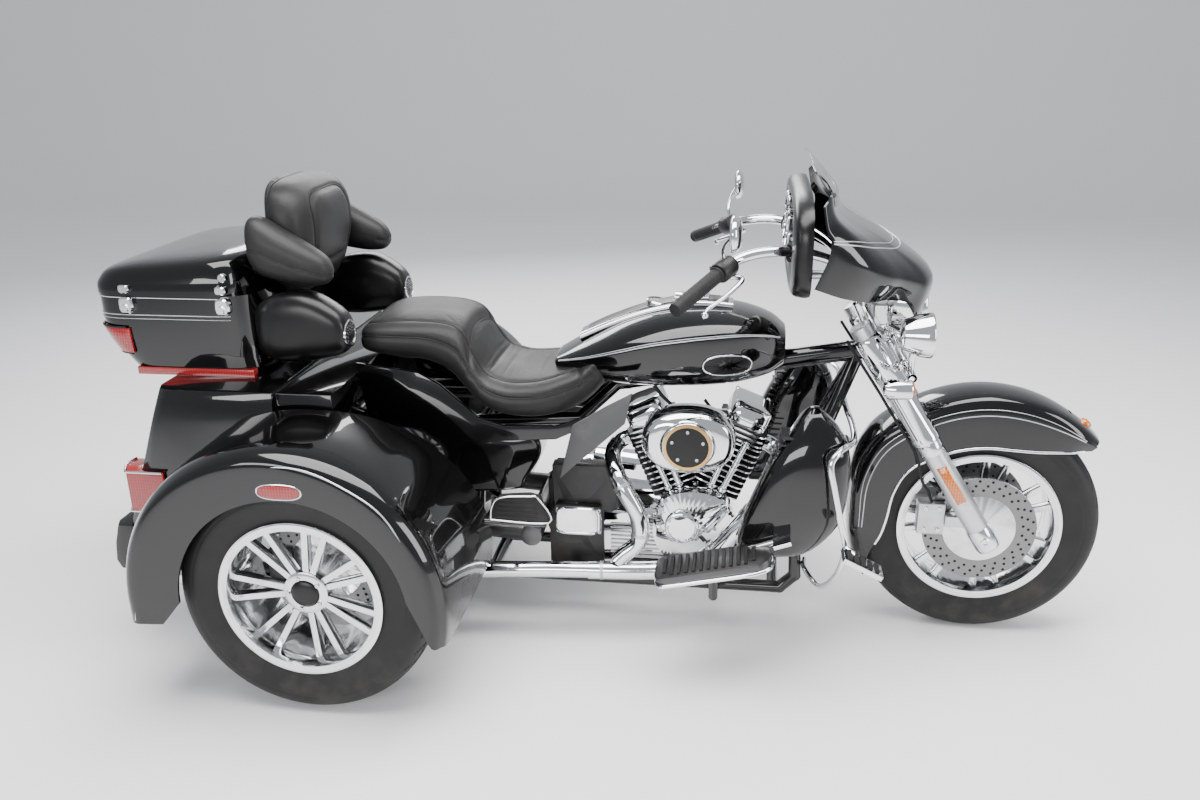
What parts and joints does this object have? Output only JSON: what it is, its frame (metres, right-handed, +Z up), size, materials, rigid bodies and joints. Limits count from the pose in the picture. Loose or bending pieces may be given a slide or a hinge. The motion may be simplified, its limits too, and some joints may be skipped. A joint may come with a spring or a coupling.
{
  "type": "motorized touring trike",
  "caption": "Motorized touring trike: V-twin front end with fork-mounted fairing, steered front wheel, two rear wheels, trunk and side-hinged top box.",
  "frame": {"origin": "on the ground, midway along the length and on the centre line", "axes": "+X forwards, +Y to the rider's left, +Z up"},
  "size_m": [2.667, 1.39, 1.306],
  "materials": {
    "black_paint": "gloss clear-coated",
    "chrome": "mirror polished",
    "polished_alloy": "polished and machined",
    "satin_alloy": "satin",
    "engine_black": "satin black, fin edges machined",
    "dark_steel": "painted",
    "black_leather": "soft grained with seams",
    "black_plastic": "fine grain",
    "grey_plastic": "satin",
    "black_rubber": "ribbed",
    "tyre_rubber": "worn matte",
    "red_lens": "moulded lens",
    "clear_screen": "clear polycarbonate"
  },
  "bodies": {
    "chassis": {"frame": "black_paint", "rear_axle": "dark_steel", "engine_cases": "polished_alloy", "cylinders": "engine_black", "air_cleaner": "chrome", "primary_cover": "chrome", "transmission": "polished_alloy", "exhaust": "chrome", "fuel_tank": "black_paint", "tank_console": "chrome", "seat": "black_leather", "backrest": "black_leather", "side_covers": "black_paint", "trunk_body": "black_paint", "rear_fender_right": "black_paint", "rear_fender_left": "black_paint", "rear_bumper": "black_paint", "tail_lamps": "red_lens", "top_box": "black_paint", "box_lamps": "red_lens", "speaker_pods": "black_plastic", "leg_shields": "black_paint", "engine_guard": "chrome", "rider_footboards": "black_rubber", "air_deflectors": "grey_plastic"},
    "steering": {"fork": "satin_alloy", "front_fender": "black_paint", "fairing": "black_paint", "fairing_inner": "black_plastic", "windshield": "clear_screen", "handlebar": "chrome", "mirrors": "chrome", "headlamp": "chrome", "front_lamps": "chrome", "front_brakes": "satin_alloy", "brake_hoses": "black_rubber"},
    "front_wheel": {"front_tyre": "tyre_rubber", "front_rim": "polished_alloy"},
    "rear_wheel_right": {"rear_tyre_right": "tyre_rubber", "rear_rim_right": "polished_alloy"},
    "rear_wheel_left": {"rear_tyre_left": "tyre_rubber", "rear_rim_left": "polished_alloy"},
    "box_lid": {"box_lid": "black_paint"},
    "trunk_door": {"trunk_door": "black_paint"},
    "pillion_board_right": {"pillion_board_right": "black_rubber"},
    "pillion_board_left": {"pillion_board_left": "black_rubber"},
    "fuel_door": {"fuel_door": "chrome"}
  },
  "joints": [
    {"name": "steering", "type": "hinge", "parent": "chassis", "child": "steering", "pos_m": [0.72719, 0, 0.79], "axis": [-0.4384, 0, 0.8988], "range_deg": [-35, 35]},
    {"name": "front_wheel_spin", "type": "hinge", "parent": "steering", "child": "front_wheel", "pos_m": [1.0135, 0, 0.32], "axis": [0, 1, 0], "continuous": true},
    {"name": "rear_wheel_right_spin", "type": "hinge", "parent": "chassis", "child": "rear_wheel_right", "pos_m": [-0.6785, -0.5495, 0.3235], "axis": [0, 1, 0], "continuous": true},
    {"name": "rear_wheel_left_spin", "type": "hinge", "parent": "chassis", "child": "rear_wheel_left", "pos_m": [-0.6785, 0.5495, 0.3235], "axis": [0, 1, 0], "continuous": true},
    {"name": "box_lid_hinge", "type": "hinge", "parent": "chassis", "child": "box_lid", "pos_m": [-1.1, 0.3115, 0.9853], "axis": [-1, 0, 0], "range_deg": [0, 95]},
    {"name": "trunk_door_hinge", "type": "hinge", "parent": "chassis", "child": "trunk_door", "pos_m": [-1.2473, 0, 0.4083], "axis": [0, -1, 0], "range_deg": [0, 85]},
    {"name": "pillion_board_right_fold", "type": "hinge", "parent": "chassis", "child": "pillion_board_right", "pos_m": [-0.19, -0.3573, 0.4157], "axis": [1, 0, 0], "range_deg": [0, 85]},
    {"name": "pillion_board_left_fold", "type": "hinge", "parent": "chassis", "child": "pillion_board_left", "pos_m": [-0.19, 0.3573, 0.4157], "axis": [-1, 0, 0], "range_deg": [0, 85]},
    {"name": "fuel_door_hinge", "type": "hinge", "parent": "chassis", "child": "fuel_door", "pos_m": [0.2675, 0, 0.9376], "axis": [0, 1, 0], "range_deg": [0, 95]}
  ]
}
